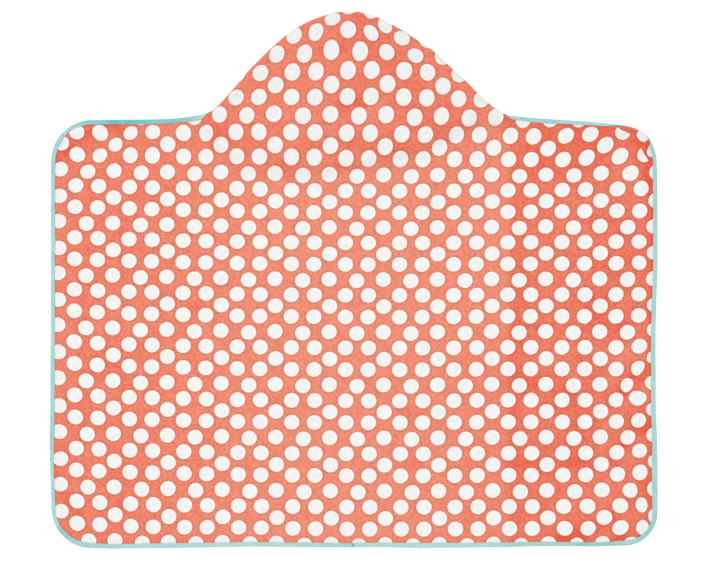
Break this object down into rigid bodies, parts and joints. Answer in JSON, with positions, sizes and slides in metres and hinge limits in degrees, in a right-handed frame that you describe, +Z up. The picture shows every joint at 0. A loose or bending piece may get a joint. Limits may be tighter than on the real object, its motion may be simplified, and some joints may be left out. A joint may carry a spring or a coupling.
{
  "type": "hooded towel",
  "caption": "Child's hooded towel laid flat, a wide round-cornered bath towel in dotted coral terry with a domed hood pocket at the middle of one long edge and narrow bound edges.",
  "frame": {"origin": "middle of the towel's footprint, on the surface that it lies on", "axes": "+X along the towel's long side, to the right seen from above with the hood at the far edge; +Y from the hem to the hood; +Z up, out of the printed side"},
  "size_m": [1.0011, 0.884, 0.013],
  "materials": {
    "printed_terry": "cut-pile cotton terry, coral with a common white dot print, plain looped reverse",
    "binding_tape": "folded cotton tape in mint, one row of stitching"
  },
  "bodies": {
    "root": {"back_panel": "printed_terry", "hood_front": "printed_terry", "binding_left": "binding_tape", "binding_right": "binding_tape", "binding_hood": "binding_tape"}
  },
  "joints": []
}
